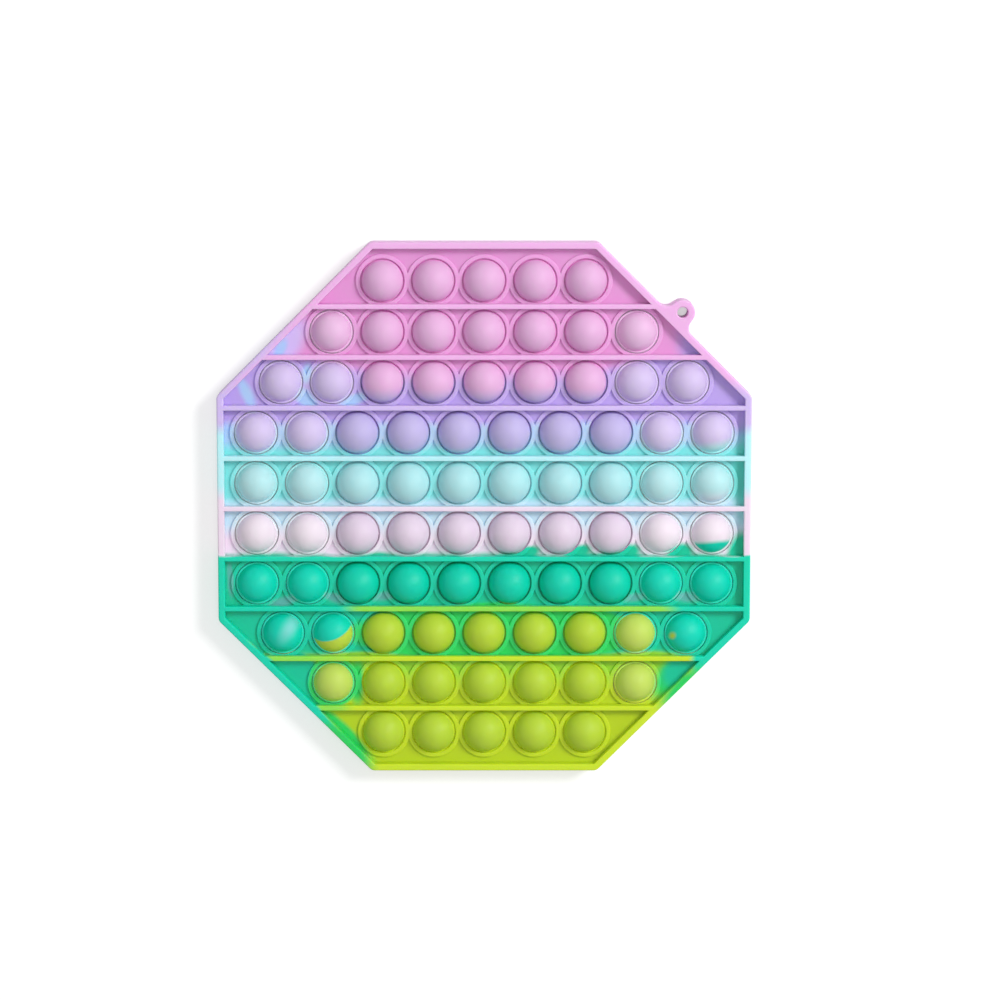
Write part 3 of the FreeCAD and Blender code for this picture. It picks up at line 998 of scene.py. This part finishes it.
    def smooth(self, piece: bpy.types.Object) -> None:
        """Shade rounded faces smoothly, and keep edges over the sharp angle sharp and flat faces flat.

        Args:
            piece: the board.
        """
        mesh = piece.data
        mesh.polygons.foreach_set("use_smooth", np.ones(len(mesh.polygons), bool))
        mesh.set_sharp_from_angle(angle=math.radians(self.sharp_angle))
        normals = piece.modifiers.new("even_normals", "WEIGHTED_NORMAL")
        normals.keep_sharp = True

    def build(self) -> bpy.types.Object:
        """Make the moulding's piece.

        Returns:
            The finished object.
        """
        s = self.sizes
        piece = make_object("silicone_board", self.slab())
        for side in (1, -1):
            combine(piece, make_object("tray", self.tray(side)), Cut.REMOVE)
        for step in range(1 - len(s.row_counts), len(s.row_counts)):
            combine(piece, make_object("rib", self.rib(step)), Cut.JOIN)
        places = s.bubble_places()
        bore = Outline.circle((0.0, 0.0), s.bore_radius, self.dome_around)
        bores = bore.stacked([(0.0, -s.collar_half), (0.0, s.collar_half)]).repeated(places)
        combine(piece, make_object("bores", bores), Cut.REMOVE)
        # Neighbours in a row go in by turns, because their collars overlap. Bubbles lie on whole or on
        # half pitches, and a quarter pitch less makes both kinds round down to their whole number.
        odd = np.round(places[:, 0] / s.pitch - 0.25).astype(int) % 2 == 1
        outer = np.abs(places[:, 0]) > s.lip_from
        for column in (odd, ~odd):
            for lipped in (True, False):
                skin = self.bubble(lipped).repeated(places[column & (outer == lipped)])
                combine(piece, make_object("bubbles", skin), Cut.JOIN)
        combine(piece, make_object("tab_hole", self.tab_bore()), Cut.REMOVE)
        self.mark_zones(piece.data)
        self.smooth(piece)
        lift = s.rim_half_height * MM
        piece.data.transform(Matrix.Translation((0.0, 0.0, lift)))
        return piece


def seen_directly(bench: ShaderBench) -> bpy.types.NodeSocket:
    """Tell what the camera sees directly, in a gloss or through something clear.

    Args:
        bench: where the nodes are added.

    Returns:
        1 for what is seen so, otherwise 0.
    """
    path = bench.add("ShaderNodeLightPath", {})
    glossy = bench.add("ShaderNodeMath", {0: path.outputs["Is Camera Ray"],
                                          1: path.outputs["Is Glossy Ray"]}, operation="MAXIMUM")
    either = bench.add("ShaderNodeMath", {0: glossy.outputs[0], 1: path.outputs["Is Transmission Ray"]},
                       operation="MAXIMUM")
    return either.outputs[0]


@dataclass
class Studio:
    """Floor, sky, lamps and camera."""

    setting: Setting

    def build(self) -> None:
        """Make the whole setting."""
        self.floor()
        self.sky()
        for lamp in self.setting.lamps:
            self.lamp(lamp)
        self.camera()
        bpy.context.scene.view_settings.view_transform = "Standard"

    def floor(self) -> None:
        """Pale floor, white where no shadow falls: it also glows, but only where it is seen directly."""
        half = self.setting.floor_side / 2
        corners = np.array([[-half, -half], [half, -half], [half, half], [-half, half]])
        points = np.column_stack([corners, np.zeros(4)]) / MM
        plane = make_object("floor", Skin(points, [(0, 1, 2, 3)]))
        material = bpy.data.materials.new("pale_floor")
        material.use_nodes = True
        bench = ShaderBench(material.node_tree)
        grey = self.setting.floor_grey
        matt = bench.add("ShaderNodeBsdfDiffuse", {"Color": (grey, grey, grey, 1.0)})
        lift = bench.add("ShaderNodeMath", {0: seen_directly(bench), 1: self.setting.floor_lift},
                         operation="MULTIPLY")
        light = bench.add("ShaderNodeEmission", {"Strength": lift.outputs[0]})
        both = bench.add("ShaderNodeAddShader", {0: matt.outputs[0], 1: light.outputs[0]})
        bench.add("ShaderNodeOutputMaterial", {"Surface": both.outputs[0]})
        plane.data.materials.append(material)

    def sky(self) -> None:
        """Even soft light from all round, which the camera sees as plain white."""
        world = bpy.data.worlds.new("soft_sky")
        bpy.context.scene.world = world
        world.use_nodes = True
        bench = ShaderBench(world.node_tree)
        strength = bench.add("ShaderNodeMapRange", {"Value": seen_directly(bench),
                                                    "To Min": self.setting.sky, "To Max": 1.0})
        sky = bench.add("ShaderNodeBackground", {"Strength": strength.outputs[0]})
        bench.add("ShaderNodeOutputWorld", {"Surface": sky.outputs[0]})

    def lamp(self, lamp: SoftLamp) -> None:
        """Square lamp turned to the board's middle.

        Args:
            lamp: its name, place, side and strength.
        """
        light = bpy.data.lights.new(lamp.name, "AREA")
        light.size = lamp.side
        light.energy = lamp.watts
        holder = bpy.data.objects.new(lamp.name, light)
        holder.location = lamp.place
        holder.rotation_euler = Vector(lamp.place).to_track_quat("Z", "Y").to_euler()
        bpy.context.scene.collection.objects.link(holder)

    def camera(self) -> None:
        """Long lens high over the board, leaning a little towards its upper side.

        The camera stands at the distance times (0, sin lean, cos lean) from the board's middle, and the
        lens is the sensor's width times the distance over the frame's width.
        """
        s = self.setting
        lens = bpy.data.cameras.new("camera")
        lens.sensor_width = s.sensor
        lens.lens = s.sensor * s.camera_distance / s.frame_width
        lens.shift_x = 0.5 - s.middle_px[0] / IMAGE_SIDE
        lens.shift_y = s.middle_px[1] / IMAGE_SIDE - 0.5
        lens.clip_end = s.camera_reach
        camera = bpy.data.objects.new("camera", lens)
        lean = math.radians(s.camera_lean)
        camera.location = (0.0, s.camera_distance * math.sin(lean), s.camera_distance * math.cos(lean))
        camera.rotation_euler = (-lean, 0.0, 0.0)
        bpy.context.scene.collection.objects.link(camera)
        bpy.context.scene.camera = camera


def main() -> None:
    """Build the board and its setting."""
    logging.basicConfig(level=logging.INFO, format="%(message)s")
    low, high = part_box(NODE)
    sizes = BoardSizes(half_width=(high[0] - low[0]) / 2 / MM)
    board = Board(sizes).build()
    board.data.materials.clear()
    board.data.materials.append(SiliconeMaterial(SiliconeFinish()).build())
    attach(board, "root")
    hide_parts(NODE)
    log.info("board: %d faces", len(board.data.polygons))
    setting = Setting()
    Studio(setting).build()
    log.info("studio: %d lamps", len(setting.lamps))


if __name__ == "__main__":
    main()
